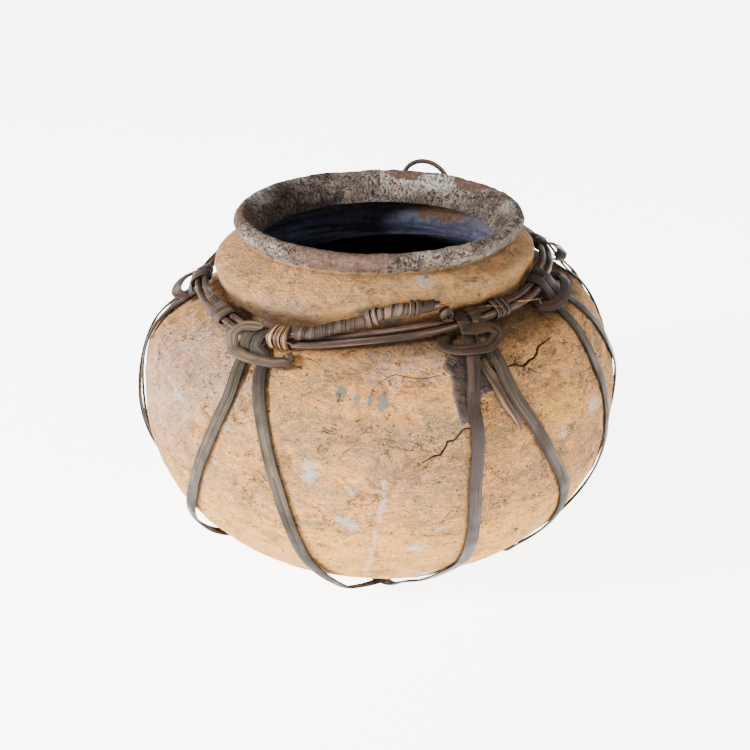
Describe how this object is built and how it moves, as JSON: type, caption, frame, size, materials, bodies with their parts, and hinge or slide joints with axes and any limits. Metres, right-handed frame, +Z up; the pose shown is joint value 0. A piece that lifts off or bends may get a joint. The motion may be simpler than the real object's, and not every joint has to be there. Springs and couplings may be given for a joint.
{
  "type": "terracotta vessel",
  "caption": "Round-bellied hand-built terracotta water pot with a rolled lip, held in a lashed harness of split cane with a hoop, straps and a hanging loop.",
  "frame": {"origin": "centre of the foot's flat underside", "axes": "+Z up along the pot's axis, the side with the two front knots and the wrapped tail faces -Y, +X to the viewer's right"},
  "size_m": [0.3377, 0.33, 0.2497],
  "materials": {
    "terracotta": "unglazed, hand-smoothed, weathered",
    "pitch": "dull hardened pitch",
    "weathered_cane": "split, weathered grey-brown",
    "pale_cane": "split, lately cut"
  },
  "bodies": {
    "harnessed_pot": {"clay_pot": "terracotta", "pitch_mend": "pitch", "hoop_cane": "weathered_cane", "strap_1_4": "weathered_cane", "strap_2_5": "weathered_cane", "strap_3_6": "weathered_cane", "strap_4_7": "weathered_cane", "strap_5_1": "weathered_cane", "strap_6_2": "weathered_cane", "strap_7_3": "weathered_cane", "hitch_band_1": "weathered_cane", "hitch_band_2": "weathered_cane", "hitch_band_3": "weathered_cane", "hitch_band_4": "weathered_cane", "hitch_band_5": "weathered_cane", "hitch_band_6": "weathered_cane", "hitch_band_7": "weathered_cane", "wrap_left": "weathered_cane", "wrap_joint": "pale_cane", "wrap_right": "weathered_cane", "tail_core": "weathered_cane", "tail_wrap": "weathered_cane", "tail_tie_1": "weathered_cane", "tail_tie_2": "weathered_cane", "rolled_end": "weathered_cane", "cut_end": "pale_cane"},
    "hanging_loop": {"hanging_loop": "weathered_cane"}
  },
  "joints": [
    {"name": "loop_swing", "type": "hinge", "parent": "harnessed_pot", "child": "hanging_loop", "pos_m": [0.0356, 0.11312, 0.2153], "axis": [-0.9451, 0.3234, -0.0463], "range_deg": [-24, 110]}
  ]
}
